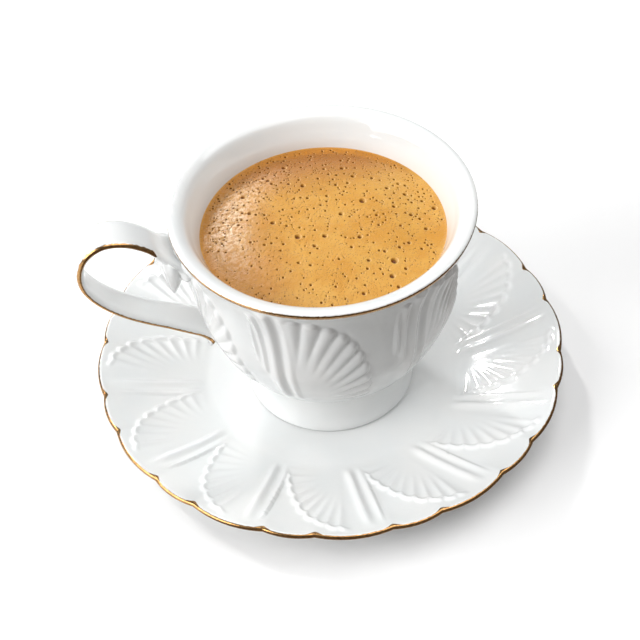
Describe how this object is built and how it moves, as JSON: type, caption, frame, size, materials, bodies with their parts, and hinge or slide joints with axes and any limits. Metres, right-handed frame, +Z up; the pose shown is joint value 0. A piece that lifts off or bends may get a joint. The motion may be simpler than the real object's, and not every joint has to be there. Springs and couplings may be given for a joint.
{
  "type": "cup of masala chai",
  "caption": "Filled porcelain tea cup with foot, flared lip and strap handle, moulded with shell fans, standing on a saucer with a scalloped edge; rests on the saucer's foot ring.",
  "frame": {"origin": "on the table, at the middle of the saucer's foot ring, on the axis that saucer and cup share", "axes": "+Z up, along the shared axis of saucer and cup; +X towards the cup's handle; +Y completes the right-handed frame"},
  "size_m": [0.1496, 0.1496, 0.0839],
  "materials": {
    "saucer_glaze": "polished",
    "cup_glaze": "polished",
    "milk_tea": "satin"
  },
  "bodies": {
    "root": {"saucer": "saucer_glaze", "cup": "cup_glaze", "tea": "milk_tea"}
  },
  "joints": []
}
